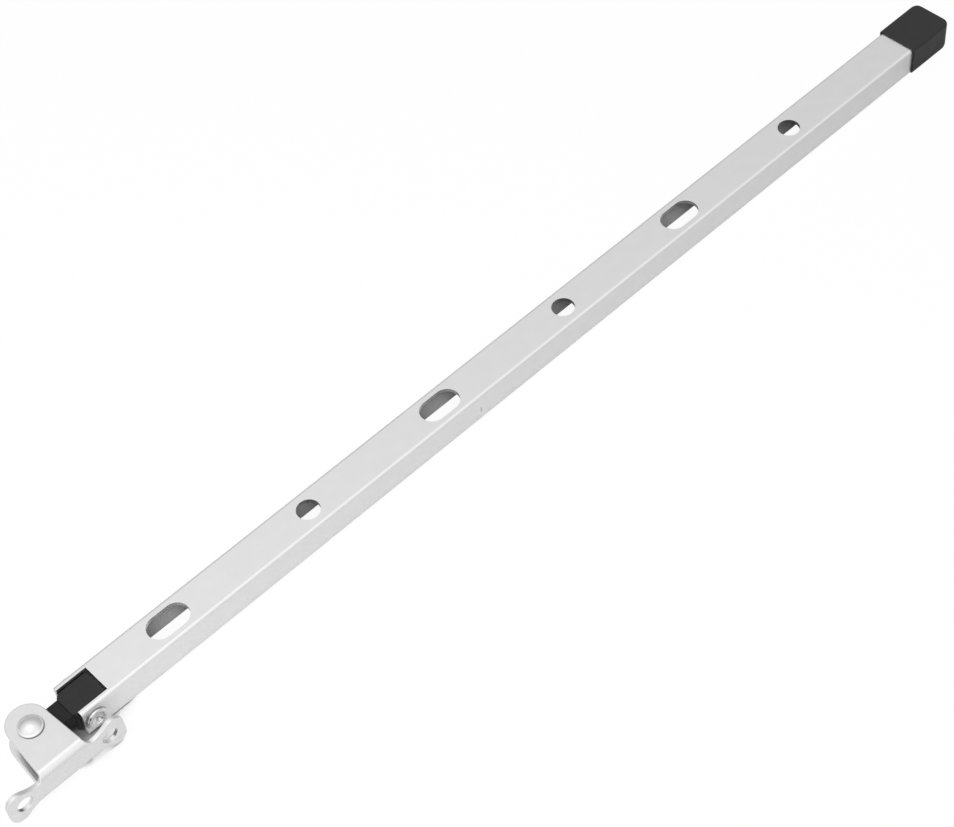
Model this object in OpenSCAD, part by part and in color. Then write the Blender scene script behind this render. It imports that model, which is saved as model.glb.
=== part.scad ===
/* [Stay bar] */
// Outer width of the channel
bar_w = 10.2; // [9:0.1:14]
// Height of the channel
bar_h = 7.2; // [6:0.1:10]
// Thickness of the channel's web and flanges
bar_wall = 1; // [0.8:0.1:1.4]
// Outer radius of the channel's two long edges
bar_edge_r = 0.8; // [0.4:0.1:1.2]
// Height of the web's top face above the screw holes' level
bar_rise = 2.85; // [2.2:0.05:3.6]
// Plain length from the last peg hole to the far end
bar_tail = 55; // [40:1:90]

/* [Peg holes] */
// Number of openings along the web, slots and round holes in turn
hole_count = 6; // [2:1:10]
// Spacing of the openings
hole_pitch = 40; // [30:1:60]
// Distance from the ear rivet to the first slot
first_slot_x = 36.5; // [32:0.5:60]
// Diameter of a round peg hole
hole_d = 5.6; // [4.6:0.1:6.4]
// Width of a slot
slot_w = 6.4; // [4.6:0.1:6.8]
// Length of a slot over its round ends
slot_len = 10.6; // [8:0.1:16]

/* [Flange pivot] */
// Distance from the ear rivet to the flange rivet
pivot_x = 12.1; // [11:0.1:16]
// Depth of the flange rivet below the web's top face
pivot_drop = 4.05; // [3.8:0.05:4.4]
// Length of the flanges past the flange rivet
flange_overhang = 2.9; // [2.4:0.1:3.6]
// Distance from the flange rivet to the cut end of the web
web_setback = 4.9; // [4.7:0.1:7]
// Width of web left inside each flange, beside the cut-out over the knuckle
ledge_w = 0.3; // [0.1:0.05:0.5]

/* [Knuckle] */
// Thickness of the tongue that sits between the ears
tongue_t = 5.2; // [4:0.1:6]
// Width of the neck between the tongue and the block
neck_w = 5.4; // [4.8:0.1:6]
// Depth of the neck's top below the tongue's top
neck_drop = 1.2; // [0.4:0.1:1.8]
// Radius of the tongue's round end
tongue_r = 4.2; // [3.4:0.1:4.6]
// Depth of the block's top below the web's top face
block_drop = 1; // [0.8:0.05:1.4]
// Length of the block's bevelled nose past the flange ends
nose_len = 1; // [0.6:0.1:1.6]

/* [Bracket] */
// Thickness of the folded sheet
sheet_t = 1.2; // [0.9:0.1:1.5]
// Outer radius of the two folds
fold_r = 2.2; // [1.8:0.1:2.6]
// Distance from the mounting face to the ear rivet
axis_to_face = 11.6; // [11.2:0.1:14]
// Radius of an ear's round end
ear_end_r = 4.75; // [4.4:0.05:5]
// Distance from the ear rivet out to the centre of the round end
ear_end_offset = 1.35; // [0.8:0.05:1.6]
// Half the width of an ear at its fold
ear_base_half = 5.6; // [5:0.1:6]
// Extra width of the lower ear on each side
lower_ear_extra = 0.6; // [0.2:0.1:0.8]
// Radius of the notch between an ear and a wing
notch_r = 1.4; // [1:0.1:1.6]
// Spacing of the two screw holes
screw_spacing = 22; // [21:0.5:26]
// Diameter of a screw hole
screw_hole_d = 3.8; // [3.2:0.1:4.6]
// Distance from a screw hole out to the end of its wing
wing_reach = 3.9; // [3.4:0.1:5]
// Half the height of a wing at its end
wing_half = 4.35; // [4:0.05:5]
// Radius of a wing's corners
wing_corner_r = 2.6; // [1.6:0.1:3.2]
// Half the height of the plate where the ears are folded
waist_half = 2.5; // [2.2:0.1:3]
// Radius of the hollow in which the waist widens into a wing
flare_r = 8; // [6:0.5:10]
// Length over which a fold fades out into the flat of a wing
fade_len = 1; // [0.6:0.1:1.4]

/* [Rivets] */
// Diameter of the ear rivet's shank
ear_pin_d = 3.2; // [2.6:0.1:3.6]
// Diameter of the ear rivet's domed head
dome_d = 5.7; // [5:0.1:6.4]
// Height of the domed head
dome_h = 1.4; // [1:0.1:1.8]
// Height of the round rim below the dome
dome_rim_h = 0.5; // [0.3:0.1:0.7]
// Diameter of the flange rivet's shank
flange_pin_d = 3.6; // [3:0.1:4]
// Outer diameter of the flange rivet's rolled rim and flat head
rim_d = 5.2; // [4.8:0.1:5.8]
// Thickness of the flange rivet's flat head
flat_head_t = 0.8; // [0.5:0.1:1.2]
// Thickness of the rivets' tubular walls
tube_wall = 0.6; // [0.4:0.05:0.8]
// Depth of the dish in the flange rivet's rolled end
dish_depth = 0.6; // [0.3:0.1:1]

/* [End cap] */
// Length of the cap over its closed end
cap_len = 14.7; // [10:0.1:24]
// Thickness of the cap's side and top walls
cap_wall = 0.5; // [0.4:0.05:0.9]
// Thickness of the cap's closed end
cap_end_t = 1.6; // [1.4:0.1:2.4]
// Thickness of the cap's floor below the flanges
cap_floor_t = 0.5; // [0.45:0.05:0.9]
// Radius of the cap's long edges
cap_edge_r = 0.9; // [0.5:0.1:1.2]
// Radius of the cap's upright corners
cap_corner_r = 1.2; // [0.8:0.1:2]
// Radius of the upper edge of the cap's closed end
cap_brow_r = 0.6; // [0.3:0.1:1]
// Radius of the lower edge of the cap's closed end
cap_heel_r = 2.4; // [1.2:0.1:2.4]

/* [Clearances] */
// Gap between a rivet's shank and the hole it is set in
set_clear = 0.03; // [0.02:0.01:0.06]
// Gap between a rivet's shank and the hole that turns on it
turn_clear = 0.06; // [0.04:0.01:0.1]
// Gap between the tongue and each ear
ear_clear = 0.1; // [0.05:0.01:0.2]
// Gap between the block and each side of the web's cut-out
side_clear = 0.2; // [0.15:0.05:0.4]
// Height of the block's underside above the flanges' lower edges
lift_clear = 0.25; // [0.15:0.05:0.6]
// Gap between the block and the cut end of the web
end_clear = 0.4; // [0.35:0.05:0.6]
// Gap between the cap and the bar
cap_clear = 0.05; // [0.02:0.01:0.1]

/* [Hidden] */
$fn = 64;
eps = 0.5;
ear_gap = tongue_t + 2 * ear_clear;
fold_h = ear_gap + 2 * sheet_t;
fold_inner_r = fold_r - sheet_t;
ear_len = axis_to_face + ear_end_offset + ear_end_r;
straight_half = fold_h / 2 - fold_r;
relief_half = max(waist_half, straight_half);
relief_depth = fold_r - sqrt(fold_r * fold_r - (relief_half - straight_half) * (relief_half - straight_half));
fade_seam = 0.04;
fade_start = relief_depth + fade_seam;
fade_angle = atan(fade_start / fade_len);
corner_x = screw_spacing / 2 + wing_reach - wing_corner_r;
corner_z = wing_half - wing_corner_r;
flare_rise = waist_half + flare_r - corner_z;
flare_run = sqrt((flare_r + wing_corner_r) * (flare_r + wing_corner_r) - flare_rise * flare_rise);
flare_angle = asin(flare_run / (flare_r + wing_corner_r));
flare_x = corner_x - flare_run;
bar_top = bar_rise;
bar_bottom = bar_rise - bar_h;
inner_w = bar_w - 2 * bar_wall;
pivot_z = bar_rise - pivot_drop;
flange_start = pivot_x - flange_overhang;
web_start = pivot_x + web_setback;
bar_end = first_slot_x + (hole_count - 1) * hole_pitch + bar_tail;
cutout_w = inner_w - 2 * ledge_w;
block_w = cutout_w - 2 * side_clear;
block_top = bar_rise - block_drop;
block_bottom = bar_bottom + lift_clear;
block_end = web_start - end_clear;
nose_x = flange_start - nose_len;
cap_end = bar_end + cap_clear + cap_end_t;
bright_metal = [0.84, 0.84, 0.85];
bare_metal = [0.78, 0.78, 0.8];
black_plastic = [0.16, 0.16, 0.16];

// Lays a flat drawing of the Y and Z directions along X
module along_x(x0, length) {
  translate([x0, 0, 0]) rotate([90, 0, 90]) linear_extrude(length) children();
}

// Stands a flat drawing of the X and Z directions up, from y0 towards +Y
module along_y(y0, length) {
  translate([0, y0 + length, 0]) rotate([90, 0, 0]) linear_extrude(length) children();
}

// Rectangle from y0 up with both of its upper corners rounded
module round_topped(width, y0, y1, r) {
  translate([-width / 2, y0]) square([width, y1 - y0 - r]);
  translate([-width / 2 + r, y0]) square([width - 2 * r, y1 - y0]);
  for (side = [-1, 1]) translate([side * (width / 2 - r), y1 - r]) circle(r);
}

// Rectangle from x = x0 to the right with both of its left corners rounded
module round_backed(x0, x1, height, r) {
  translate([x0 + r, -height / 2]) square([x1 - x0 - r, height]);
  translate([x0, -height / 2 + r]) square([x1 - x0, height - 2 * r]);
  for (side = [-1, 1]) translate([x0 + r, side * (height / 2 - r)]) circle(r);
}

// Section of the sheet folded into a U that opens away from the mounting face
module fold_section() {
  difference() {
    round_backed(0, ear_len + eps, fold_h, fold_r);
    round_backed(sheet_t, ear_len + 2 * eps, ear_gap, fold_inner_r);
  }
}

// Outline of an ear seen from above, with room beside its fold for the notches
module ear_outline(extra) {
  base = ear_base_half + extra;
  end_r = ear_end_r + extra;
  tip = axis_to_face + ear_end_offset;
  translate([0, tip]) circle(end_r);
  polygon([[-base, 0], [base, 0], [base, fold_r], [end_r, tip], [-end_r, tip], [-base, fold_r]]);
  translate([-base - notch_r, 0]) square([2 * (base + notch_r), fold_r]);
}

// Outline of the mounting plate seen square on, its waist widening into a wing at each side
module plate_outline() {
  touch_x = flare_x + flare_r * sin(flare_angle);
  touch_z = waist_half + flare_r * (1 - cos(flare_angle));
  for (side = [0, 1]) mirror([side, 0]) {
    difference() {
      polygon([
        [0, -waist_half], [flare_x, -waist_half], [touch_x, -touch_z], [corner_x, -corner_z],
        [corner_x, corner_z], [touch_x, touch_z], [flare_x, waist_half], [0, waist_half]
      ]);
      for (level = [-1, 1]) translate([flare_x, level * (waist_half + flare_r)]) circle(flare_r);
    }
    for (level = [-1, 1]) translate([corner_x, level * corner_z]) circle(wing_corner_r);
    translate([corner_x - wing_corner_r / 2, -corner_z]) square([1.5 * wing_corner_r, 2 * corner_z]);
  }
}

// Round notch through the upper fold's sheet, between an ear and a wing
module fold_notch(x) {
  reach = waist_half / sqrt(2) + notch_r;
  translate([x, 0, 0]) rotate([45, 0, 0]) {
    translate([0, reach, 0]) cylinder(r = notch_r, h = 2 * fold_r);
    translate([-notch_r, reach, 0]) cube([2 * notch_r, 2 * fold_r, 2 * fold_r]);
  }
}

// Cut that lets the upper fold's rounding fade out across the plate beside the ear
module fold_relief(base) {
  translate([-base, -eps, straight_half]) cube([2 * base, sheet_t + 2 * eps, fold_h]);
  for (side = [0, 1]) mirror([side, 0, 0]) translate([base, fade_start, 0]) rotate([0, 0, -fade_angle])
    along_x(0, 2 * fade_len) translate([-relief_depth, 0]) difference() {
      translate([-eps, straight_half]) square([fold_r + eps, relief_half + eps - straight_half]);
      translate([fold_r, straight_half]) circle(fold_r);
    }
}

// Folded sheet bracket: two ears on a plate with a wing at each side
module bracket() {
  half_h = fold_h / 2 + eps;
  upper = ear_base_half;
  lower = ear_base_half + lower_ear_extra;
  color(bright_metal) difference() {
    union() {
      difference() {
        intersection() {
          along_x(-lower - notch_r, 2 * (lower + notch_r)) fold_section();
          union() {
            linear_extrude(half_h) ear_outline(0);
            translate([0, 0, -half_h]) linear_extrude(half_h) ear_outline(lower_ear_extra);
          }
        }
        for (side = [-1, 1]) {
          fold_notch(side * (upper + notch_r));
          mirror([0, 0, 1]) fold_notch(side * (lower + notch_r));
        }
      }
      difference() {
        along_y(0, sheet_t) plate_outline();
        fold_relief(upper);
        mirror([0, 0, 1]) fold_relief(lower);
      }
    }
    translate([0, axis_to_face, -half_h]) cylinder(d = ear_pin_d + 2 * set_clear, h = 2 * half_h);
    for (side = [-1, 1]) translate([side * screw_spacing / 2, -eps, 0]) rotate([-90, 0, 0])
      cylinder(d = screw_hole_d, h = sheet_t + 2 * eps);
  }
}

// Ring of tube wall rolled over at a rivet's end, lying on the plane z = 0
module rolled_rim(outer_d, shank_d, wall) {
  ring_r = (outer_d - shank_d) / 4 + wall / 2;
  rotate_extrude() intersection() {
    translate([outer_d / 2 - ring_r, 0]) circle(ring_r);
    square([outer_d, ring_r + eps]);
  }
}

// Half section of a domed head: a round rim on the plane z = 0 with a shallow dome above it
module dome_section() {
  rim_r = dome_rim_h / 2;
  rise = dome_h - rim_r;
  dome_r = (dome_d * dome_d / 4 + rise * rise) / (2 * rise);
  translate([dome_d / 2 - rim_r, rim_r]) circle(rim_r, $fn = 32);
  square([dome_d / 2 - rim_r, rim_r]);
  intersection() {
    translate([0, dome_h - dome_r]) circle(dome_r, $fn = 128);
    translate([0, rim_r]) square([dome_d / 2, rise]);
  }
}

// Rivet that joins the ears: domed head above, tubular end rolled over below
module ear_rivet() {
  bore_d = ear_pin_d - 2 * tube_wall;
  color(bare_metal) translate([0, axis_to_face, 0]) difference() {
    union() {
      translate([0, 0, fold_h / 2]) rotate_extrude() dome_section();
      translate([0, 0, -fold_h / 2 - tube_wall / 2]) cylinder(d = ear_pin_d, h = fold_h + tube_wall);
      translate([0, 0, -fold_h / 2]) mirror([0, 0, 1]) rolled_rim(dome_d - 1, ear_pin_d, tube_wall);
    }
    translate([0, 0, -fold_h / 2 - 2 * tube_wall]) cylinder(d = bore_d, h = sheet_t + 3 * tube_wall);
  }
}

// Plan of the knuckle's block, bevelled at its nose
module block_outline() {
  polygon([
    [nose_x, -neck_w / 2], [flange_start, -block_w / 2], [block_end, -block_w / 2],
    [block_end, block_w / 2], [flange_start, block_w / 2], [nose_x, neck_w / 2]
  ]);
}

// Moulded knuckle: a block between the flanges, a lower neck and a tongue between the ears
module knuckle() {
  color(black_plastic) translate([0, axis_to_face, 0]) difference() {
    union() {
      translate([0, 0, block_bottom]) linear_extrude(block_top - block_bottom) block_outline();
      translate([0, 0, -tongue_t / 2]) cylinder(r = tongue_r, h = tongue_t);
      translate([0, -neck_w / 2, -tongue_t / 2]) cube([flange_start, neck_w, tongue_t - neck_drop]);
    }
    translate([0, 0, -tongue_t]) cylinder(d = ear_pin_d + 2 * turn_clear, h = 2 * tongue_t);
    translate([pivot_x, -bar_w / 2, pivot_z]) rotate([-90, 0, 0])
      cylinder(d = flange_pin_d + 2 * turn_clear, h = bar_w);
  }
}

// Slot with round ends, cut down through the web
module slot_cut(x) {
  half = (slot_len - slot_w) / 2;
  for (side = [-1, 1]) translate([x + side * half, 0, bar_top - bar_wall - eps])
    cylinder(d = slot_w, h = bar_wall + 2 * eps);
  translate([x - half, -slot_w / 2, bar_top - bar_wall - eps]) cube([2 * half, slot_w, bar_wall + 2 * eps]);
}

// Round peg hole, cut down through the web
module hole_cut(x) {
  translate([x, 0, bar_top - bar_wall - eps]) cylinder(d = hole_d, h = bar_wall + 2 * eps);
}

// Channel bar, open below, with its web cut back over the knuckle
module stay_bar() {
  inner_r = 0.3 * bar_wall;
  color(bright_metal) translate([0, axis_to_face, 0]) difference() {
    along_x(flange_start, bar_end - flange_start) difference() {
      round_topped(bar_w, bar_bottom, bar_top, bar_edge_r);
      round_topped(inner_w, bar_bottom - eps, bar_top - bar_wall, inner_r);
    }
    translate([flange_start - eps, -cutout_w / 2, 0])
      cube([web_start - flange_start + eps, cutout_w, bar_top + eps]);
    translate([pivot_x, -bar_w / 2 - eps, pivot_z]) rotate([-90, 0, 0])
      cylinder(d = flange_pin_d + 2 * set_clear, h = bar_w + 2 * eps);
    for (i = [0:hole_count - 1]) {
      x = first_slot_x + i * hole_pitch;
      if (i % 2 == 0) slot_cut(x);
      else hole_cut(x);
    }
  }
}

// Tubular rivet across the flanges: rolled and dished rim in front, flat head behind
module flange_rivet() {
  bore_d = flange_pin_d - 2 * tube_wall;
  dish_r = (bore_d * bore_d / 4 + dish_depth * dish_depth) / (2 * dish_depth);
  color(bare_metal) translate([pivot_x, axis_to_face, pivot_z]) rotate([90, 0, 0]) difference() {
    union() {
      translate([0, 0, -bar_w / 2]) cylinder(d = flange_pin_d, h = bar_w + tube_wall / 2);
      translate([0, 0, -bar_w / 2 - flat_head_t]) cylinder(d = rim_d, h = flat_head_t);
      translate([0, 0, bar_w / 2]) rolled_rim(rim_d, flange_pin_d, tube_wall);
    }
    translate([0, 0, bar_w / 2]) cylinder(d = bore_d, h = tube_wall);
    translate([0, 0, bar_w / 2 + dish_r - dish_depth]) intersection() {
      sphere(dish_r, $fn = 96);
      translate([0, 0, -dish_r]) cylinder(d = bore_d, h = dish_r);
    }
  }
}

// Side view of the cap from its closed end at x = 0, rounded by one radius above and another below
module cap_profile(height) {
  difference() {
    square([cap_len, height]);
    square([cap_heel_r, cap_heel_r]);
    translate([0, height - cap_brow_r]) square([cap_brow_r, cap_brow_r]);
  }
  translate([cap_heel_r, cap_heel_r]) circle(cap_heel_r);
  translate([cap_brow_r, height - cap_brow_r]) circle(cap_brow_r);
}

// Push-on cap over the bar's far end
module end_cap() {
  start = cap_end - cap_len;
  outer_w = bar_w + 2 * (cap_clear + cap_wall);
  top = bar_top + cap_clear + cap_wall;
  bottom = bar_bottom - cap_clear - cap_floor_t;
  height = top - bottom;
  middle = (top + bottom) / 2;
  color(black_plastic) translate([0, axis_to_face, 0]) difference() {
    intersection() {
      along_x(start, cap_len) {
        round_topped(outer_w, middle, top, cap_edge_r);
        translate([0, 2 * middle]) mirror([0, 1]) round_topped(outer_w, middle, top, cap_edge_r);
      }
      translate([cap_end, 0, bottom]) mirror([1, 0, 0]) linear_extrude(height)
        round_backed(0, cap_len, outer_w, cap_corner_r);
      translate([cap_end, 0, bottom]) mirror([1, 0, 0]) along_y(-outer_w / 2, outer_w) cap_profile(height);
    }
    translate([start - eps, -bar_w / 2 - cap_clear, bar_bottom - cap_clear])
      cube([bar_end + cap_clear - start + eps, bar_w + 2 * cap_clear, bar_h + 2 * cap_clear]);
  }
}

bracket();
ear_rivet();
knuckle();
stay_bar();
flange_rivet();
end_cap();
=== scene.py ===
"""Looks, studio and camera of the greenhouse window stay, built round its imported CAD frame."""

import logging
import math
from dataclasses import dataclass, field
from enum import Enum
from typing import Any

import bpy
import numpy as np
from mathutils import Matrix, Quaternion, Vector
from mathutils.geometry import delaunay_2d_cdt


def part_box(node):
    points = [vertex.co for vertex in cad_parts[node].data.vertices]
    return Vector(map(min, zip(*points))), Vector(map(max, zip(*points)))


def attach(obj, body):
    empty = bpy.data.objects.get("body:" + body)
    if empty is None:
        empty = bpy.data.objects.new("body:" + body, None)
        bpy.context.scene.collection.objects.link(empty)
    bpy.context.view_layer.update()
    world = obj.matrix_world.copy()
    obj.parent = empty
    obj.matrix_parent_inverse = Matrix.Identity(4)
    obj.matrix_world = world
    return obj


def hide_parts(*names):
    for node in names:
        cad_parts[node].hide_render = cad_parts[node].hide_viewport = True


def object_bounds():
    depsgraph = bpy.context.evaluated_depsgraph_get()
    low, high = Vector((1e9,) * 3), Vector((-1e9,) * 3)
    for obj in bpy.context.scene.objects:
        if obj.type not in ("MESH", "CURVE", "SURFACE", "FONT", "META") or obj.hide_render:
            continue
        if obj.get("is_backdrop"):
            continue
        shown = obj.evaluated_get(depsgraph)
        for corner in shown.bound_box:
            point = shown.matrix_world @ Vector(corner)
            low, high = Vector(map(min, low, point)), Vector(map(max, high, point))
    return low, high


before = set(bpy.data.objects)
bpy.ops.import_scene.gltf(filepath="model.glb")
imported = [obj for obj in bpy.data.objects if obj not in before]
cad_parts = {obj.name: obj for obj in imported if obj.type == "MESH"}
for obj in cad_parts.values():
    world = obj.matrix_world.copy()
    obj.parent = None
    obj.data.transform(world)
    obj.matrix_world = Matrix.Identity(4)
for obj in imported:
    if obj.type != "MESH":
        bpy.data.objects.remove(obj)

LOG = logging.getLogger("window_stay")

# The classes below hold sizes in mm, and MM turns them into the frame's metres
MM = 0.001
# A quarter turn in degrees
QUARTER_TURN = 90.0
# How strongly large faces pull the shading of their corners flat
FLATNESS = 60
# The middle range of a noise pattern, which holds nearly all of it
NOISE_RANGE = (0.3, 0.7)

Shade = tuple[float, float, float, float]
Socket = bpy.types.NodeSocket
Outline = list[tuple[float, float]]
Triple = tuple[float, float, float]
Faces = list[tuple[int, ...]]


def grey(level: float) -> Shade:
    """Returns an opaque neutral grey of that linear level."""
    return (level, level, level, 1.0)


def arc(centre: tuple[float, float], radius: float, start: float, end: float, step: float = 7.0) -> Outline:
    """Lays points along an arc.

    Args:
        centre: The arc's centre.
        radius: Its radius.
        start: The angle of its first point, in degrees.
        end: The angle of its last point, in degrees.
        step: The largest angle between two points, in degrees.

    Returns:
        The points, both ends included.
    """
    count = max(2, math.ceil(abs(end - start) / step) + 1)
    angles = np.radians(np.linspace(start, end, count))
    return [(centre[0] + radius * math.cos(a), centre[1] + radius * math.sin(a)) for a in angles]


def band(upper: range, lower: range) -> Faces:
    """Joins two closed rings of points by quads.

    Args:
        upper: The numbers of one ring's points.
        lower: The numbers of the other's.

    Returns:
        The quads, which face outwards where the rings run anticlockwise seen from above.
    """
    size = len(upper)
    pairs = [(spot, (spot + 1) % size) for spot in range(size)]
    return [(upper[this], lower[this], lower[after], upper[after]) for this, after in pairs]


def smooth(mesh: bpy.types.Mesh, crease_deg: float | None) -> None:
    """Shades a mesh smooth but for its creases.

    Args:
        mesh: The mesh.
        crease_deg: The angle past which an edge stays hard, in degrees, if any does.
    """
    for face in mesh.polygons:
        face.use_smooth = True
    if crease_deg is not None:
        mesh.set_sharp_from_angle(angle=math.radians(crease_deg))


def even_faces(piece: bpy.types.Object) -> None:
    """Weighs a piece's normals by the size of its faces, so that large flat faces shade flat.

    Args:
        piece: The piece, which takes a modifier.
    """
    flatten = piece.modifiers.new("even_faces", "WEIGHTED_NORMAL")
    flatten.keep_sharp = True
    flatten.weight = FLATNESS


def new_piece(name: str, points: Any, faces: Faces, crease_deg: float | None = None) -> bpy.types.Object:
    """Makes a smooth piece and adds it to the scene.

    Args:
        name: The piece's name.
        points: Rows of x, y and z in mm.
        faces: The numbers of each face's points.
        crease_deg: The angle past which an edge stays hard, in degrees.

    Returns:
        The new piece.
    """
    mesh = bpy.data.meshes.new(name)
    mesh.from_pydata((np.array(points) * MM).tolist(), [], faces)
    smooth(mesh, crease_deg)
    piece = bpy.data.objects.new(name, mesh)
    bpy.context.scene.collection.objects.link(piece)
    return piece


class Grain(Enum):
    """Which way the fine marks of a finish run, as its pattern's stretch along X, Y and Z."""

    ALONG_BAR = (0.02, 1.0, 1.0)
    ACROSS_PLATE = (1.0, 0.35, 1.0)
    ALL_WAYS = (1.0, 1.0, 1.0)


class Sketch:
    """A material's node tree with short calls to add and join its nodes."""

    def __init__(self, tree: bpy.types.NodeTree) -> None:
        """Empties a node tree to draw in.

        Args:
            tree: The node tree.
        """
        self.tree = tree
        self.tree.nodes.clear()

    def add(self, kind: str, **settings: Any) -> bpy.types.Node:
        """Adds a node.

        Args:
            kind: The node's type without its ShaderNode prefix.
            **settings: The node's own properties.

        Returns:
            The new node.
        """
        node = self.tree.nodes.new("ShaderNode" + kind)
        for key, value in settings.items():
            setattr(node, key, value)
        return node

    def join(self, source: Socket, target: Socket) -> None:
        """Links an output to an input."""
        self.tree.links.new(source, target)

    def grain_coords(self, grain: Grain) -> Socket:
        """Stretches the object's own coordinates the way a grain runs.

        Args:
            grain: The grain.

        Returns:
            The coordinates.
        """
        place = self.add("TexCoord")
        stretch = self.add("Mapping")
        stretch.inputs["Scale"].default_value = grain.value
        self.join(place.outputs["Object"], stretch.inputs["Vector"])
        return stretch.outputs["Vector"]

    def spot_coords(self, place: Triple, half: Triple) -> Socket:
        """Finds coordinates in which a box about a place reaches from -1 to 1.

        Args:
            place: The middle of the box, in mm on the object at rest.
            half: Half the box's sizes, in mm.

        Returns:
            The coordinates.
        """
        coords = self.add("TexCoord")
        shift = self.add("Mapping")
        shift.inputs["Scale"].default_value = [1 / (size * MM) for size in half]
        shift.inputs["Location"].default_value = [-at / size for at, size in zip(place, half)]
        self.join(coords.outputs["Object"], shift.inputs["Vector"])
        return shift.outputs["Vector"]

    def noise(self, coords: Socket, feature_mm: float, detail: float, rough: float) -> Socket:
        """Adds a noise pattern.

        Args:
            coords: Where the pattern is read.
            feature_mm: The size of its spots.
            detail: How many finer layers it has.
            rough: How strong those layers are.

        Returns:
            The pattern's value.
        """
        node = self.add("TexNoise")
        node.inputs["Scale"].default_value = 1 / (feature_mm * MM)
        node.inputs["Detail"].default_value = detail
        node.inputs["Roughness"].default_value = rough
        self.join(coords, node.inputs["Vector"])
        return node.outputs["Fac"]

    def span(self, value: Socket, first: float, last: float, low: float, high: float) -> Socket:
        """Maps a value between two others, held at both ends.

        Args:
            value: What is mapped.
            first: The value that becomes low.
            last: The value that becomes high.
            low: The result at first.
            high: The result at last.

        Returns:
            The mapped value.
        """
        node = self.add("MapRange")
        for name, number in (("From Min", first), ("From Max", last), ("To Min", low), ("To Max", high)):
            node.inputs[name].default_value = number
        self.join(value, node.inputs["Value"])
        return node.outputs["Result"]

    def spread(self, value: Socket, low: float, high: float) -> Socket:
        """Returns a pattern's middle range stretched from low to high."""
        return self.span(value, *NOISE_RANGE, low, high)

    def maths(self, operation: str, first: Socket, second: Socket | float) -> Socket:
        """Adds an operation on two values.

        Args:
            operation: The operation's name.
            first: The first value.
            second: The second value.

        Returns:
            The result.
        """
        node = self.add("Math", operation=operation)
        self.join(first, node.inputs[0])
        if isinstance(second, float):
            node.inputs[1].default_value = second
        else:
            self.join(second, node.inputs[1])
        return node.outputs["Value"]

    def towards(self, direction: Socket, way: Vector) -> Socket:
        """Measures how far a direction points a given way.

        Args:
            direction: The direction.
            way: The way, of length 1.

        Returns:
            The measure, from -1 to 1.
        """
        node = self.add("VectorMath", operation="DOT_PRODUCT")
        node.inputs[1].default_value = way
        self.join(direction, node.inputs[0])
        return node.outputs["Value"]

    def blend(self, amount: Socket, first: Shade | Socket, second: Shade | Socket) -> Socket:
        """Mixes two colours.

        Args:
            amount: The pattern that mixes them, from 0 to 1.
            first: The colour at 0.
            second: The colour at 1.

        Returns:
            The mixed colour.
        """
        node = self.add("Mix", data_type="RGBA")
        slots = [socket for socket in node.inputs if socket.type == "RGBA"]
        for socket, colour in zip(slots, (first, second)):
            if isinstance(colour, tuple):
                socket.default_value = colour
            else:
                self.join(colour, socket)
        self.join(amount, node.inputs["Factor"])
        return next(socket for socket in node.outputs if socket.type == "RGBA")

    def bumps(self, height: Socket, depth_mm: float, strength: float) -> Socket:
        """Turns a pattern into bumps.

        Args:
            height: The pattern.
            depth_mm: The depth of the bumps at full strength.
            strength: The share of it that is used.

        Returns:
            The bumped normal.
        """
        node = self.add("Bump")
        node.inputs["Distance"].default_value = depth_mm * MM
        node.inputs["Strength"].default_value = strength
        self.join(height, node.inputs["Height"])
        return node.outputs["Normal"]

    def surface(self, **constants: Any) -> bpy.types.Node:
        """Adds the surface shader, joined to the output.

        Args:
            **constants: Values of its sockets, with _ for each space in a socket's name.

        Returns:
            The surface shader.
        """
        shader = self.add("BsdfPrincipled")
        for key, value in constants.items():
            shader.inputs[key.replace("_", " ")].default_value = value
        output = self.add("OutputMaterial")
        self.join(shader.outputs["BSDF"], output.inputs["Surface"])
        return shader


def new_material(name: str) -> tuple[bpy.types.Material, Sketch]:
    """Makes an empty material.

    Args:
        name: The material's name.

    Returns:
        The material and its sketch.
    """
    material = bpy.data.materials.new(name)
    material.use_nodes = True
    return material, Sketch(material.node_tree)


@dataclass(frozen=True)
class NickAndShadeSpot:
    """A darker round spot on a surface, used for a real nick and for painted contact shade under the rivets'
    rims.

    Its place and half sizes are in mm, core is the share of them that is fully dark, and share is
    how much of the metal's own tone is left there.
    """

    place: Triple
    half: Triple
    core: float = 0.5
    share: float = 0.4

    def mask(self, sketch: Sketch) -> Socket:
        """Marks the spot out.

        Args:
            sketch: The material's sketch.

        Returns:
            A value that is 1 in the spot's core and 0 outside the spot.
        """
        length = sketch.add("VectorMath", operation="LENGTH")
        sketch.join(sketch.spot_coords(self.place, self.half), length.inputs[0])
        return sketch.span(length.outputs["Value"], self.core, 1.0, 1.0, 0.0)


@dataclass(frozen=True)
class PaintedHollowShade:
    """The inside of a channel, painted darker as the shade that falls in it, in the same terms as a spot."""

    place: Triple
    half: Triple
    core: float = 0.98
    share: float = 0.6

    def mask(self, sketch: Sketch) -> Socket:
        """Marks the hollow out.

        Args:
            sketch: The material's sketch.

        Returns:
            A value that is 1 inside the hollow and 0 outside it.
        """
        size = sketch.add("VectorMath", operation="ABSOLUTE")
        sketch.join(sketch.spot_coords(self.place, self.half), size.inputs[0])
        split = sketch.add("SeparateXYZ")
        sketch.join(size.outputs["Vector"], split.inputs["Vector"])
        widest = sketch.maths("MAXIMUM", split.outputs["X"], split.outputs["Y"])
        outermost = sketch.maths("MAXIMUM", widest, split.outputs["Z"])
        return sketch.span(outermost, self.core, 1.0, 1.0, 0.0)


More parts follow.
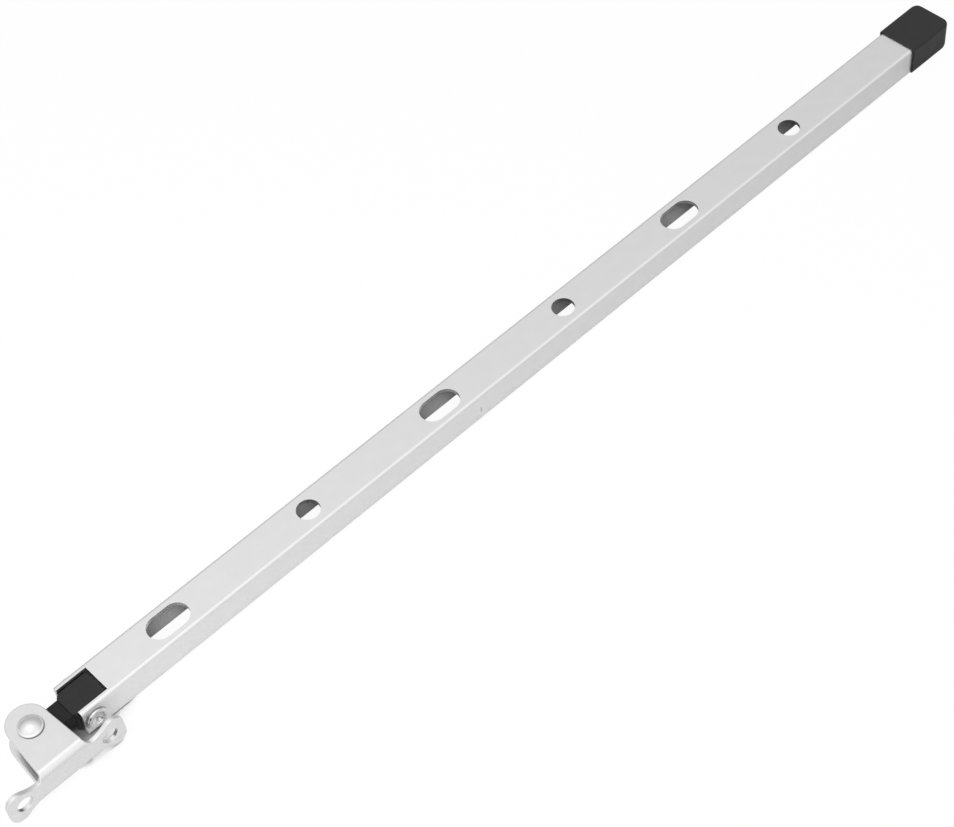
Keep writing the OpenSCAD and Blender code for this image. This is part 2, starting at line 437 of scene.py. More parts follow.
@dataclass(frozen=True)
class MetalFinish:
    """A bare or plated metal with fine marks, a soft, patchy polish, and any listed nicks and painted shade.
    """

    name: str
    level: float
    patch: float
    roughness: float
    unevenness: float
    grain: Grain
    mark_mm: float
    mark_depth_mm: float
    mark_layers: float = 6.0
    nicks_and_painted_shade: tuple[NickAndShadeSpot | PaintedHollowShade, ...] = ()
    mark_rough: float = 0.6
    most_marked: float = 0.35
    mark_shade: float = 3.0
    patch_mm: float = 3.5
    patch_layers: float = 3.0
    patch_rough: float = 0.5
    bump_strength: float = 0.35

    def make(self) -> bpy.types.Material:
        """Makes the finish.

        Returns:
            The finish as a material.
        """
        material, sketch = new_material(self.name)
        along, all_ways = (sketch.grain_coords(grain) for grain in (self.grain, Grain.ALL_WAYS))
        marks = sketch.noise(along, self.mark_mm, self.mark_layers, self.mark_rough)
        patches = sketch.noise(all_ways, self.patch_mm, self.patch_layers, self.patch_rough)
        shader = sketch.surface(Metallic=1.0)
        broad = sketch.blend(
            sketch.spread(patches, 0.0, 1.0),
            grey(self.level - self.patch),
            grey(self.level + self.patch),
        )
        marked = sketch.spread(marks, 0.0, self.most_marked)
        tone = sketch.blend(marked, broad, grey(self.level - self.mark_shade * self.patch))
        # Each listed place darkens the tone: a nick is a real mark, the others are painted shade
        for place in self.nicks_and_painted_shade:
            tone = sketch.blend(place.mask(sketch), tone, grey(self.level * place.share))
        sketch.join(tone, shader.inputs["Base Color"])
        polish = sketch.spread(marks, self.roughness - self.unevenness, self.roughness + self.unevenness)
        sketch.join(polish, shader.inputs["Roughness"])
        bumps = sketch.bumps(marks, self.mark_depth_mm, self.bump_strength)
        sketch.join(bumps, shader.inputs["Normal"])
        return material


@dataclass(frozen=True)
class MouldedFinish:
    """A black moulded plastic with a fine spark texture and a faint sheen."""

    name: str
    level: float
    sheen: float
    roughness: float
    texture_mm: float
    texture_depth_mm: float
    dull_until_mm: float | None = None
    texture_layers: float = 4.0
    texture_rough: float = 0.7
    cloud_mm: float = 2.8
    cloud_layers: float = 3.0
    cloud_rough: float = 0.55
    refraction: float = 1.49
    tones: tuple[float, float] = (0.8, 1.25)
    polishes: tuple[float, float] = (-0.06, 0.08)
    bump_strength: float = 0.5
    dull_share: float = 0.6
    dull_edge_mm: float = 0.2
    sheens: tuple[float, float] = (0.7, 1.3)

    def make(self) -> bpy.types.Material:
        """Makes the finish.

        Returns:
            The finish as a material.
        """
        material, sketch = new_material(self.name)
        place = sketch.grain_coords(Grain.ALL_WAYS)
        texture = sketch.noise(place, self.texture_mm, self.texture_layers, self.texture_rough)
        clouds = sketch.noise(place, self.cloud_mm, self.cloud_layers, self.cloud_rough)
        shader = sketch.surface(IOR=self.refraction, Specular_IOR_Level=self.sheen)
        darkest, lightest = (grey(self.level * share) for share in self.tones)
        tone = sketch.blend(sketch.spread(clouds, 0.0, 1.0), darkest, lightest)
        sketch.join(tone, shader.inputs["Base Color"])
        polish = sketch.spread(clouds, *(self.roughness + change for change in self.polishes))
        sketch.join(polish, shader.inputs["Roughness"])
        bumps = sketch.bumps(texture, self.texture_depth_mm, self.bump_strength)
        sketch.join(bumps, shader.inputs["Normal"])
        if self.dull_until_mm is not None:
            self.dull(sketch, place, texture, shader)
        return material

    def dull(self, sketch: Sketch, place: Socket, texture: Socket, shader: bpy.types.Node) -> None:
        """Breaks the sheen up by the texture and takes part of it from the end below dull_until_mm.

        Args:
            sketch: The material's sketch.
            place: The object's own coordinates.
            texture: The fine texture.
            shader: The surface shader.
        """
        split = sketch.add("SeparateXYZ")
        sketch.join(place, split.inputs["Vector"])
        first, last = ((self.dull_until_mm + way * self.dull_edge_mm) * MM for way in (-1, 1))
        kept = sketch.span(split.outputs["X"], first, last, self.dull_share, 1.0)
        uneven = sketch.spread(texture, *(self.sheen * share for share in self.sheens))
        sheen = sketch.maths("MULTIPLY", uneven, kept)
        sketch.join(sheen, shader.inputs["Specular IOR Level"])


Finish = MetalFinish | MouldedFinish


@dataclass(frozen=True)
class EdgeBreak:
    """The small rounding that tumbling or moulding leaves on a piece's edges."""

    width_mm: float
    steps: int = 3
    angle_deg: float = 35.0
    flat_deg: float = 0.4

    def apply(self, piece: bpy.types.Object) -> None:
        """Rounds the edges of a piece by modifiers, which leave its own mesh as it is.

        Args:
            piece: The piece.
        """
        merge = piece.modifiers.new("flat_faces", "DECIMATE")
        merge.decimate_type = "DISSOLVE"
        merge.angle_limit = math.radians(self.flat_deg)
        soften = piece.modifiers.new("edge_break", "BEVEL")
        soften.width = self.width_mm * MM
        soften.segments = self.steps
        soften.limit_method = "ANGLE"
        soften.angle_limit = math.radians(self.angle_deg)
        soften.use_clamp_overlap = False
        soften.harden_normals = True


@dataclass
class KeptPiece:
    """A CAD node that keeps its shape and takes a finish, smooth roundings and soft edges."""

    node: str
    finish: Finish
    crease_deg: float = 34.0
    edges: EdgeBreak | None = None

    def dress(self) -> bpy.types.Object:
        """Gives the node its finish and its shading.

        Returns:
            The node's object.
        """
        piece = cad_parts[self.node]
        piece.data.materials.clear()
        piece.data.materials.append(self.finish.make())
        if self.edges is None:
            smooth(piece.data, self.crease_deg)
            even_faces(piece)
        else:
            smooth(piece.data, None)
            self.edges.apply(piece)
        LOG.info("%s: %s", self.node, self.finish.name)
        return piece


@dataclass
class MadePiece:
    """A piece that is made here in place of a CAD node and rides on that node's body."""

    finish: Finish
    node: str = ""
    body: str = ""
    slot: str = ""

    def build(self) -> bpy.types.Object:
        """Builds the piece and returns it."""
        raise NotImplementedError

    def dress(self) -> bpy.types.Object:
        """Builds the piece, gives it its finish and puts it on its body.

        Returns:
            The new piece.
        """
        piece = self.build()
        piece.data.materials.append(self.finish.make())
        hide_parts(self.node)
        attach(piece, self.body)
        LOG.info("%s: %s, %d faces", self.node, self.finish.name, len(piece.data.polygons))
        return piece


@dataclass
class Fold:
    """The rule that folds a flat blank into a U: u along X, v up across the plate, w into the sheet."""

    sheet: float
    outer_r: float
    straight_half: float
    fade: float

    @property
    def middle_r(self) -> float:
        """The radius of the sheet's middle layer in the bend."""
        return self.outer_r - self.sheet / 2

    @property
    def ear_start(self) -> float:
        """The height in the blank at which the bend is over."""
        return self.straight_half + self.middle_r * math.pi / 2

    def blank_height(self, y: float) -> float:
        """Returns the height in the blank of a level on the finished ear."""
        return self.ear_start + y - self.outer_r

    def place(self, points: np.ndarray, bases: tuple[float, float]) -> np.ndarray:
        """Folds points of the blank.

        Args:
            points: Rows of u, v and w.
            bases: Half the width of the upper and of the lower ear at its fold.

        Returns:
            Rows of x, y and z.
        """
        u, v, w = points.T
        rise = np.abs(v) - self.straight_half
        turn = np.clip(rise / self.middle_r, 0, math.pi / 2)
        past = np.maximum(rise - self.middle_r * math.pi / 2, 0)
        radius = self.outer_r - w
        side = np.where(v < 0, -1.0, 1.0)
        bent = rise > 0
        y = np.where(bent, self.outer_r - radius * np.cos(turn) + past, w)
        z = np.where(bent, side * (self.straight_half + radius * np.sin(turn)), v)
        base = np.where(v < 0, bases[1], bases[0])
        faded = np.clip((np.abs(u) - base) / self.fade, 0, 1)
        faded = faded * faded * (3 - 2 * faded)
        y = y * (1 - faded) + w * faded
        z = z * (1 - faded) + v * faded
        return np.stack([u, y, z], axis=1)


@dataclass
class Bracket(MadePiece):
    """The pressed bracket as one folded sheet, its cut edges and holes softly rounded."""

    node: str = "bracket"
    body: str = "bracket"
    slot: str = "bracket_steel"
    fold: Fold = field(default_factory=lambda: Fold(sheet=1.2, outer_r=2.2, straight_half=1.7, fade=1.5))
    ear_bases: tuple[float, float] = (5.6, 6.2)
    ear_ends: tuple[float, float] = (4.75, 5.35)
    ear_tips: tuple[float, float] = (12.95, 12.85)
    pin_y: float = 11.6
    pin_hole_r: float = 1.63
    notch_r: float = 1.4
    waist_half: float = 2.5
    flare_r: float = 8.0
    corner: tuple[float, float] = (12.3, 1.75)
    corner_r: float = 2.6
    screw_x: float = 11.0
    screw_hole_r: float = 1.9
    edge_r: float = 0.28
    edge_steps: int = 4
    fine: float = 0.2
    coarse: float = 0.62
    merge_within: float = 1e-7
    normal_step: float = 1e-4

    def quarter(self, base: float, end_r: float, end_y: float) -> Outline:
        """Draws the blank's outline from a wing's end up to the middle of an ear's end.

        Args:
            base: Half the width of the ear at its fold.
            end_r: The radius of the ear's round end.
            end_y: The level of that end's middle on the finished ear.

        Returns:
            The points, for the side of positive u and v.
        """
        wide, high = self.corner
        flare_rise = self.waist_half + self.flare_r - high
        flare_run = math.sqrt((self.flare_r + self.corner_r) ** 2 - flare_rise**2)
        flare = (wide - flare_run, self.waist_half + self.flare_r)
        lean = math.degrees(math.atan2(flare_run, flare_rise))
        notch_u = base + self.notch_r
        reach = self.flare_r - self.notch_r
        notch = (notch_u, flare[1] - math.sqrt(reach**2 - (notch_u - flare[0]) ** 2))
        meet = math.degrees(math.asin((notch_u - flare[0]) / reach))
        points = [(wide + self.corner_r, 0.0)]
        points += arc(self.corner, self.corner_r, 0.0, QUARTER_TURN + lean)
        points += arc(flare, self.flare_r, lean - QUARTER_TURN, meet - QUARTER_TURN, step=4.0)[1:]
        points += arc(notch, self.notch_r, meet - QUARTER_TURN, -2 * QUARTER_TURN)[1:]
        start = self.fold.ear_start
        tip = self.fold.blank_height(end_y)
        gap = math.hypot(base, tip - start)
        touch = math.degrees(math.atan2(start - tip, base) + math.acos(end_r / gap))
        side = arc((0.0, tip), end_r, touch, QUARTER_TURN)
        rows = max(2, math.ceil((side[0][1] - start) / self.coarse))
        for row in range(rows):
            share = row / rows
            points.append((base + (side[0][0] - base) * share, start + (side[0][1] - start) * share))
        return points + side

    def outline(self) -> np.ndarray:
        """Draws the whole outline of the blank.

        Returns:
            The outline's points, anticlockwise.
        """
        upper, lower = (self.quarter(*ear) for ear in zip(self.ear_bases, self.ear_ends, self.ear_tips))
        loop = upper + [(-u, v) for u, v in reversed(upper[:-1])]
        loop += [(-u, -v) for u, v in lower[1:]] + [(u, -v) for u, v in reversed(lower[1:-1])]
        return np.array(loop)

    def holes(self) -> list[np.ndarray]:
        """Draws the holes for the screws and the rivet.

        Returns:
            The outline of each hole, clockwise.
        """
        pin = self.fold.blank_height(self.pin_y)
        spots = [(self.screw_x, 0.0, self.screw_hole_r), (-self.screw_x, 0.0, self.screw_hole_r)]
        spots += [(0.0, pin, self.pin_hole_r), (0.0, -pin, self.pin_hole_r)]
        return [np.array(arc((u, v), r, 4 * QUARTER_TURN, 0.0, step=8.0)[:-1]) for u, v, r in spots]

    def inward(self, loop: np.ndarray) -> np.ndarray:
        """Finds which way the sheet lies from each point of a loop.

        Args:
            loop: The loop, with the sheet on its left.

        Returns:
            The directions, each of length 1.
        """
        along = np.roll(loop, -1, axis=0) - np.roll(loop, 1, axis=0)
        along /= np.linalg.norm(along, axis=1)[:, None]
        return np.stack([-along[:, 1], along[:, 0]], axis=1)

    def inside(self, points: np.ndarray, loop: np.ndarray) -> np.ndarray:
        """Tells which points lie inside a loop.

        Args:
            points: The points.
            loop: The loop.

        Returns:
            True for each point that does.
        """
        within = np.zeros(len(points), bool)
        for (u0, v0), (u1, v1) in zip(loop, np.roll(loop, -1, axis=0)):
            if v0 == v1:
                continue
            spans = (v0 > points[:, 1]) != (v1 > points[:, 1])
            cross = (u1 - u0) * (points[:, 1] - v0) / (v1 - v0) + u0
            within ^= spans & (points[:, 0] < cross)
        return within

    def grid(self, outer: np.ndarray, holes: list[np.ndarray]) -> np.ndarray:
        """Lays points over the blank's face, closer together where it bends.

        Args:
            outer: The face's outer loop.
            holes: Its inner loops.

        Returns:
            The points, none of them close to a loop.
        """
        top = outer[:, 1].max()
        start, end = self.fold.straight_half, self.fold.ear_start
        rows = list(np.arange(0.0, start, self.coarse)) + list(np.arange(start, end, self.fine))
        rows += list(np.arange(end, top, self.coarse))
        rows = sorted({round(side * row, 6) for row in rows for side in (-1, 1)})
        columns = np.arange(outer[:, 0].min(), outer[:, 0].max(), self.coarse)
        points = np.array([(u, v) for v in rows for u in columns])
        keep = self.inside(points, outer)
        for hole in holes:
            keep &= ~self.inside(points, hole)
        for loop in [outer, *holes]:
            gaps = np.linalg.norm(points[:, None, :] - loop[None, :, :], axis=2).min(axis=1)
            keep &= gaps > self.edge_r
        return points[keep]

    def build(self) -> bpy.types.Object:
        """Builds the folded sheet in place of the node.

        Returns:
            The new piece.
        """
        outer, holes = self.outline(), self.holes()
        loops = [outer, *holes]
        inward = [self.inward(loop) for loop in loops]
        rims = [loop + self.edge_r * way for loop, way in zip(loops, inward)]
        spots = np.concatenate([*rims, self.grid(rims[0], rims[1:])])
        edges, first = [], 0
        for rim in rims:
            count = len(rim)
            edges += [(first + i, first + (i + 1) % count) for i in range(count)]
            first += count
        found = delaunay_2d_cdt([Vector(spot) for spot in spots], edges, [], 0, self.merge_within)
        flat = np.array([tuple(corner) for corner in found[0]])
        middles = np.array([flat[list(face)].mean(axis=0) for face in found[2]])
        keep = self.inside(middles, rims[0])
        for rim in rims[1:]:
            keep &= ~self.inside(middles, rim)
        sheet_faces = [tuple(face) for face, kept in zip(found[2], keep) if kept]
        return self.assemble(flat, sheet_faces, loops, inward)

    def assemble(
        self, flat: np.ndarray, sheet_faces: Faces, loops: list[np.ndarray], inward: list[np.ndarray]
    ) -> bpy.types.Object:
        """Joins both faces of the sheet by its rounded edges and folds the whole.

        Args:
            flat: The points of a face, its loops first.
            sheet_faces: The triangles of a face.
            loops: The loops of the sheet's edges.
            inward: The direction into the sheet at each of their points.

        Returns:
            The new piece.
        """
        count, sheet = len(flat), self.fold.sheet
        points = [np.column_stack([flat, np.zeros(count)]), np.column_stack([flat, np.full(count, sheet)])]
        normals = [np.tile([0.0, 0.0, -1.0], (count, 1)), np.tile([0.0, 0.0, 1.0], (count, 1))]
        faces = [tuple(reversed(face)) for face in sheet_faces]
        faces += [tuple(corner + count for corner in face) for face in sheet_faces]
        angles = np.radians(np.linspace(0, QUARTER_TURN, self.edge_steps + 1))[1:]
        turns = [(a, self.edge_r * (1 - math.cos(a))) for a in angles]
        levels = [(math.sin(a), -math.cos(a), w) for a, w in turns]
        levels += [(side, -down, sheet - w) for side, down, w in reversed(levels)]
        total, first = 2 * count, 0
        for loop, way in zip(loops, inward):
            size = len(loop)
            rings = [np.arange(first, first + size)]
            for side, down, w in levels:
                spots = loop + (self.edge_r * (1 - side)) * way
                points.append(np.column_stack([spots, np.full(size, w)]))
                normals.append(np.column_stack([-side * way, np.full(size, down)]))
                rings.append(np.arange(total, total + size))
                total += size
            rings.append(np.arange(first, first + size) + count)
            for low, high in zip(rings, rings[1:]):
                faces += [
                    (low[i], low[(i + 1) % size], high[(i + 1) % size], high[i]) for i in range(size)
                ]
            first += size
        return self.fold_mesh(np.concatenate(points), np.concatenate(normals), faces)

    def fold_mesh(self, blank: np.ndarray, normals: np.ndarray, faces: Faces) -> bpy.types.Object:
        """Folds the blank and its normals and makes the piece.

        Args:
            blank: The points of the blank.
            normals: Their normals there.
            faces: The faces between them.

        Returns:
            The new piece.
        """
        steps = [
            self.fold.place(blank + way, self.ear_bases) - self.fold.place(blank - way, self.ear_bases)
            for way in np.eye(3) * self.normal_step
        ]
        turned = (
            np.cross(steps[1], steps[2]) * normals[:, :1]
            + np.cross(steps[2], steps[0]) * normals[:, 1:2]
            + np.cross(steps[0], steps[1]) * normals[:, 2:]
        )
        turned /= np.linalg.norm(turned, axis=1)[:, None]
        places = self.fold.place(blank, self.ear_bases)
        corners = [tuple(int(corner) for corner in face) for face in faces]
        piece = new_piece("folded_bracket", places, corners)
        piece.data.normals_split_custom_set_from_vertices(turned.tolist())
        return piece


@dataclass
class Turned(MadePiece):
    """A round piece turned from a half section."""

    slot: str = "rivet_steel"
    centre: Triple = (0.0, 0.0, 0.0)
    across: Triple = (1.0, 0.0, 0.0)
    upright: Triple = (0.0, 1.0, 0.0)
    rounds: int = 96
    crease_deg: float = 50.0

    def profile(self) -> Outline:
        """Returns the half section as radius and height, from the upper pole to the lower one."""
        raise NotImplementedError

    def build(self) -> bpy.types.Object:
        """Turns the half section about its axis.

        Returns:
            The new piece.
        """
        centre, across, upright = Vector(self.centre), Vector(self.across), Vector(self.upright)
        axis = across.cross(upright)
        section = self.profile()
        points = [centre + axis * section[0][1], centre + axis * section[-1][1]]
        rings = []
        for radius, height in section[1:-1]:
            rings.append(range(len(points), len(points) + self.rounds))
            for step in range(self.rounds):
                turn = 2 * math.pi * step / self.rounds
                side = across * math.cos(turn) + upright * math.sin(turn)
                points.append(centre + side * radius + axis * height)
        faces = [face for upper, lower in zip(rings, rings[1:]) for face in band(upper, lower)]
        for step in range(self.rounds):
            following = (step + 1) % self.rounds
            faces.append((0, rings[0][step], rings[0][following]))
            faces.append((1, rings[-1][following], rings[-1][step]))
        return new_piece("turned_" + self.node, points, faces, self.crease_deg)


@dataclass
class EarRivet(Turned):
    """The ears' rivet: a shallow dome on a thin round rim above, a rolled tube end below."""

    node: str = "ear_rivet"
    body: str = "bracket"
    centre: Triple = (0.0, 11.6, 0.0)
    seat: float = 3.9
    head_r: float = 2.85
    head_h: float = 1.4
    dome_r: float = 2.55
    dome_foot: float = 0.46
    rim_r: float = 0.23
    rim_lift: float = 0.02
    rim_sweep: tuple[float, float] = (80.0, -100.0)
    shank_r: float = 1.6
    tail_r: float = 2.35
    tail_ring_r: float = 0.675
    bore_r: float = 1.0
    bore_end: float = -2.1

    def profile(self) -> Outline:
        """Draws the half section: dome, rim, shank and rolled tail with its bore.

        Returns:
            Its points as radius and height, from the upper pole to the lower one.
        """
        rise = self.head_h - self.dome_foot
        ball_r = (self.dome_r**2 + rise**2) / (2 * rise)
        ball = (0.0, self.seat + self.head_h - ball_r)
        spread = math.degrees(math.asin(self.dome_r / ball_r))
        dome = arc(ball, ball_r, QUARTER_TURN, QUARTER_TURN - spread, step=2.5)
        rim_at = (self.head_r - self.rim_r, self.seat + self.rim_r + self.rim_lift)
        rim = arc(rim_at, self.rim_r, *self.rim_sweep, step=15.0)
        tail_at = (self.tail_r - self.tail_ring_r, -self.seat)
        tail = arc(tail_at, self.tail_ring_r, 0.0, -2 * QUARTER_TURN, step=12.0)
        shank = [(self.shank_r, self.seat), (self.shank_r, -self.seat)]
        return dome + rim + shank + tail + [(self.bore_r, self.bore_end), (0.0, self.bore_end)]


@dataclass
class FlangeRivet(Turned):
    """The flanges' rivet: a rolled rim round a shallow dish in front, a flat head behind."""

    node: str = "flange_rivet"
    body: str = "bar"
    centre: Triple = (12.1, 11.6, -1.2)
    upright: Triple = (0.0, 0.0, 1.0)
    seat: float = 5.1
    rim_r: float = 2.6
    ring_r: float = 0.5
    ring_lift: float = 0.2
    ring_sweep: tuple[float, float] = (150.0, -80.0)
    shank_r: float = 1.8
    dish_r: float = 1.66
    dish_top: float = 0.4
    dish_depth: float = 0.85
    head_h: float = 0.8
    head_edge_r: float = 0.2

    def profile(self) -> Outline:
        """Draws the half section: dish, rolled ring, shank and flat head.

        Returns:
            Its points as radius and height, from the upper pole to the lower one.
        """
        ball_r = (self.dish_r**2 + self.dish_depth**2) / (2 * self.dish_depth)
        spread = math.degrees(math.asin(self.dish_r / ball_r))
        dish_at = (0.0, self.seat + self.dish_top - self.dish_depth + ball_r)
        dish = arc(dish_at, ball_r, -QUARTER_TURN, spread - QUARTER_TURN, step=4.0)
        ring_at = (self.rim_r - self.ring_r, self.seat + self.ring_lift)
        ring = arc(ring_at, self.ring_r, *self.ring_sweep, step=8.0)
        foot = [(self.shank_r, self.seat - self.ring_r / 2)]
        edge_at = (self.rim_r - self.head_edge_r, self.head_edge_r - self.seat - self.head_h)
        edge = arc(edge_at, self.head_edge_r, 0.0, -QUARTER_TURN, step=15.0)
        head = [(self.shank_r, -self.seat), (self.rim_r, -self.seat), *edge, (0.0, edge[-1][1])]
        return dish + ring + foot + head


@dataclass
class Cap(MadePiece):
    """The push-on cap as one moulded shell, its closed end more softly rounded than the plain solid."""

    node: str = "end_cap"
    body: str = "bar"
    slot: str = "cap_plastic"
    wall: float = 0.5
    end_wall: float = 1.6
    edge_r: float = 0.9
    corner_r: float = 2.4
    brow_r: float = 1.2
    heel_r: float = 2.8
    lip_r: float = 0.15
    inner_edge_r: float = 0.05
    round_steps: int = 18
    lip_steps: int = 4
    step_deg: float = 15.0
    crease_deg: float = 34.0

    def inset(self, radius: float, depth: float) -> float:
        """Returns how far a rounding of that radius draws a wall in at a depth from the closed end."""
        return 0.0 if depth >= radius else radius - math.sqrt(radius**2 - (radius - depth) ** 2)

    def section(self, insets: Triple, edge_r: float) -> Outline:
        """Draws a cross-section of the cap.

        Args:
            insets: How far its sides, its top and its bottom are drawn in from the cap's box.
            edge_r: The radius of its corners.

        Returns:
            The section's points, seen from the closed end.
        """
        low, high = (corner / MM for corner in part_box(self.node))
        sides, top, bottom = insets
        left, right = low.y + sides + edge_r, high.y - sides - edge_r
        under, over = low.z + bottom + edge_r, high.z - top - edge_r
        points = []
        for turn, corner in enumerate(((right, over), (left, over), (left, under), (right, under))):
            first = turn * QUARTER_TURN
            points += arc(corner, edge_r, first, first + QUARTER_TURN, self.step_deg)
        return points

    def build(self) -> bpy.types.Object:
        """Lays the cap's skin from the closed end over the lip and into the hollow.

        Returns:
            The new piece.
        """
        low, high = (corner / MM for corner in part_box(self.node))
        sections = []
        for angle in np.linspace(0.0, math.pi / 2, self.round_steps):
            depth = self.heel_r * (1 - math.cos(angle))
            insets = tuple(self.inset(radius, depth) for radius in (self.corner_r, self.brow_r, self.heel_r))
            sections.append((high.x - depth, self.section(insets, self.edge_r)))
        for angle in np.linspace(0.0, math.pi / 2, self.lip_steps):
            inset = self.lip_r * (1 - math.cos(angle))
            x = low.x + self.lip_r * (1 - math.sin(angle))
            sections.append((x, self.section((inset,) * 3, self.edge_r)))
        inner = self.section((self.wall,) * 3, self.inner_edge_r)
        sections += [(low.x, inner), (high.x - self.end_wall, inner)]
        points = [(x, y, z) for x, spots in sections for y, z in spots]
        size = len(inner)
        rings = [range(first, first + size) for first in range(0, len(points), size)]
        faces = [tuple(rings[0]), tuple(reversed(rings[-1]))]
        for upper, lower in zip(rings, rings[1:]):
            faces += band(upper, lower)
        piece = new_piece("moulded_cap", points, faces, self.crease_deg)
        even_faces(piece)
        return piece


@dataclass(frozen=True)
class Lamp:
    """A soft square lamp that metal doesn't mirror."""

    name: str
    place: Triple
    aim: Triple
    side: float
    watts: float

    def build(self) -> None:
        """Hangs the lamp in the scene."""
        place, aim = Vector(self.place), Vector(self.aim)
        lamp = bpy.data.lights.new(self.name, "AREA")
        lamp.size = self.side
        lamp.energy = self.watts
        holder = bpy.data.objects.new(self.name, lamp)
        holder.location = place
        holder.rotation_mode = "QUATERNION"
        holder.rotation_quaternion = (aim - place).to_track_quat("-Z", "Y")
        holder.visible_glossy = False
        bpy.context.scene.collection.objects.link(holder)


@dataclass
class Studio:
    """The pale floor with its painted shade, the world and the lamp."""

    floor_half: float = 3.0
    object_length: float = 293 * MM
    floor_gap: float = 0.05 * MM
    floor_level: float = 0.88
    # The floor as metal mirrors it is a painted reflection: dimmer than the floor, and dimmer still at the
    # far end
    near_painted_reflection_level: float = 0.73
    glow_share: float = 0.93
    far_painted_reflection_level: float = 0.62
    gaps_at: Vector = field(default_factory=lambda: Vector((11.0, 10.0, -5.0)) * MM)
    gaps_edge: tuple[float, float] = (9.5 * MM, 12.0 * MM)
    gaps_open: tuple[float, float] = (0.35, 0.5)
    gaps_samples: int = 12
    gaps_height: float = 12.0 * MM
    # Painted shade: the floor's colour in the covered gaps by the knuckle
    painted_gap_shade_level: float = 0.25
    sky_level: float = 0.62
    brightest_way: Vector = field(default_factory=lambda: Vector((-0.4, -0.28, 0.87)).normalized())
    dark_end: tuple[float, float] = (0.05, 0.72)
    bright_end: tuple[float, float] = (0.75, 1.42)
    window_way: Vector = field(default_factory=lambda: Vector((-0.15, 0.1, 0.98)).normalized())
    window_edge: float = 0.93
    window_core: float = 0.99
    window_gain: float = 0.9
    key: Lamp = Lamp(name="key", place=(-0.3, -0.25, 0.9), aim=(0.08, 0.0, 0.0), side=0.8, watts=9.0)

    def build(self, low: Vector) -> None:
        """Makes the floor, the world and the lamp.

        Args:
            low: The object's lowest corner.
        """
        self.make_floor(low.z - self.floor_gap)
        self.make_world()
        self.key.build()

    def make_floor(self, height: float) -> None:
        """Makes the floor, nearly white to the camera but for painted shade in the covered gaps by the
        knuckle, and with a painted, dimmer reflection.

        Args:
            height: The floor's level.
        """
        half = self.floor_half
        mesh = bpy.data.meshes.new("floor")
        corners = [(-half, -half, height), (half, -half, height), (half, half, height), (-half, half, height)]
        mesh.from_pydata(corners, [], [(0, 1, 2, 3)])
        floor = bpy.data.objects.new("floor", mesh)
        bpy.context.scene.collection.objects.link(floor)
        material, sketch = new_material("pale_floor")
        lit = sketch.add("BsdfDiffuse")
        path = sketch.add("LightPath")
        coords = sketch.add("TexCoord")
        away = sketch.add("VectorMath", operation="DISTANCE")
        away.inputs[1].default_value = self.gaps_at
        sketch.join(coords.outputs["Object"], away.inputs[0])
        cover = sketch.add("AmbientOcclusion", samples=self.gaps_samples)
        cover.inputs["Distance"].default_value = self.gaps_height
        near = sketch.span(away.outputs["Value"], *self.gaps_edge, 0.0, 1.0)
        bare = sketch.maths("MAXIMUM", near, sketch.span(cover.outputs["AO"], *self.gaps_open, 0.0, 1.0))
        # Painted shade: the floor darkens in the covered gaps by the knuckle
        seen = sketch.blend(bare, grey(self.painted_gap_shade_level), grey(self.floor_level))
        split = sketch.add("SeparateXYZ")
        sketch.join(coords.outputs["Object"], split.inputs["Vector"])
        # Painted reflection: the floor that metal mirrors darkens along the bar
        along = sketch.span(split.outputs["X"], 0.0, self.object_length, 0.0, 1.0)
        mirrored = sketch.blend(along, grey(self.near_painted_reflection_level), grey(self.far_painted_reflection_level))
        level = sketch.blend(path.outputs["Is Glossy Ray"], seen, mirrored)
        sketch.join(level, lit.inputs["Color"])
        glow = sketch.add("Emission")
        glow.inputs["Color"].default_value = grey(1.0)
        open_floor = sketch.maths("MULTIPLY", bare, self.glow_share)
        share = sketch.maths("MULTIPLY", path.outputs["Is Camera Ray"], open_floor)
        mix = sketch.add("MixShader")
        sketch.join(share, mix.inputs["Fac"])
        sketch.join(lit.outputs["BSDF"], mix.inputs[1])
        sketch.join(glow.outputs["Emission"], mix.inputs[2])
        output = sketch.add("OutputMaterial")
        sketch.join(mix.outputs["Shader"], output.inputs["Surface"])
        mesh.materials.append(material)
        floor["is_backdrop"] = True

    def make_world(self) -> None:
        """Makes a pale sky whose mirror image is brightest overhead and in front."""
        world = bpy.data.worlds.new("studio")
        world.use_nodes = True
        bpy.context.scene.world = world
        sketch = Sketch(world.node_tree)
        path = sketch.add("LightPath")
        place = sketch.add("TexCoord")
        facing, window = (
            sketch.towards(place.outputs["Generated"], way) for way in (self.brightest_way, self.window_way)
        )
        (first, low), (last, high) = self.dark_end, self.bright_end
        sky = sketch.span(facing, first, last, low, high)
        pane = sketch.span(window, self.window_edge, self.window_core, 0.0, self.window_gain)
        soft = sketch.add("Background")
        soft.inputs["Strength"].default_value = self.sky_level
        mirrored = sketch.add("Background")
        sketch.join(sketch.maths("ADD", sky, pane), mirrored.inputs["Strength"])
        plain = sketch.add("Background")
        mix = sketch.add("MixShader")
        sketch.join(path.outputs["Is Glossy Ray"], mix.inputs["Fac"])
        sketch.join(soft.outputs["Background"], mix.inputs[1])
        sketch.join(mirrored.outputs["Background"], mix.inputs[2])
        seen = sketch.add("MixShader")
        sketch.join(path.outputs["Is Camera Ray"], seen.inputs["Fac"])
        sketch.join(mix.outputs["Shader"], seen.inputs[1])
        sketch.join(plain.outputs["Background"], seen.inputs[2])
        output = sketch.add("OutputWorld")
        sketch.join(seen.outputs["Shader"], output.inputs["Surface"])


